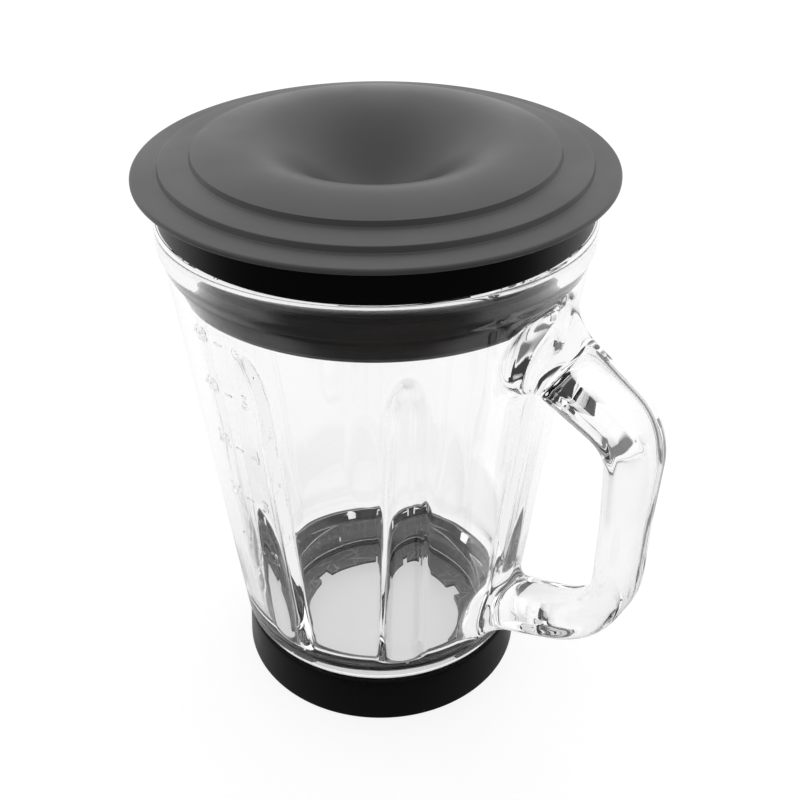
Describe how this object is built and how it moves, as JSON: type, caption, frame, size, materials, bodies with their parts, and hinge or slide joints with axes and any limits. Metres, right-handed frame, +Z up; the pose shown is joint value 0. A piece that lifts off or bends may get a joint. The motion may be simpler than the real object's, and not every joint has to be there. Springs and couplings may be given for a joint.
{
  "type": "blender jar",
  "caption": "Tapered glass blender jar with a moulded loop handle, inner ribs, a push-in lid with a funnel-shaped middle and an open base ring that takes a blade unit from below.",
  "frame": {"origin": "on the jar's axis, in the plane that the base ring stands on", "axes": "+Z up along the jar's axis, +X towards the handle"},
  "size_m": [0.1843, 0.153, 0.2068],
  "materials": {
    "clear_glass": "clear, fire-polished",
    "matte_black_plastic": "fine matte texture",
    "satin_black_plastic": "satin",
    "black_rubber": "smooth satin"
  },
  "bodies": {
    "jar": {"glass_jar": "clear_glass", "base_ring": "satin_black_plastic", "jar_gasket": "black_rubber"},
    "lid": {"lid": "matte_black_plastic", "lid_seal": "black_rubber"}
  },
  "joints": [
    {"name": "lid_lift", "type": "slide", "parent": "jar", "child": "lid", "axis": [0, 0, 1], "range_m": [0, 0.05]}
  ]
}
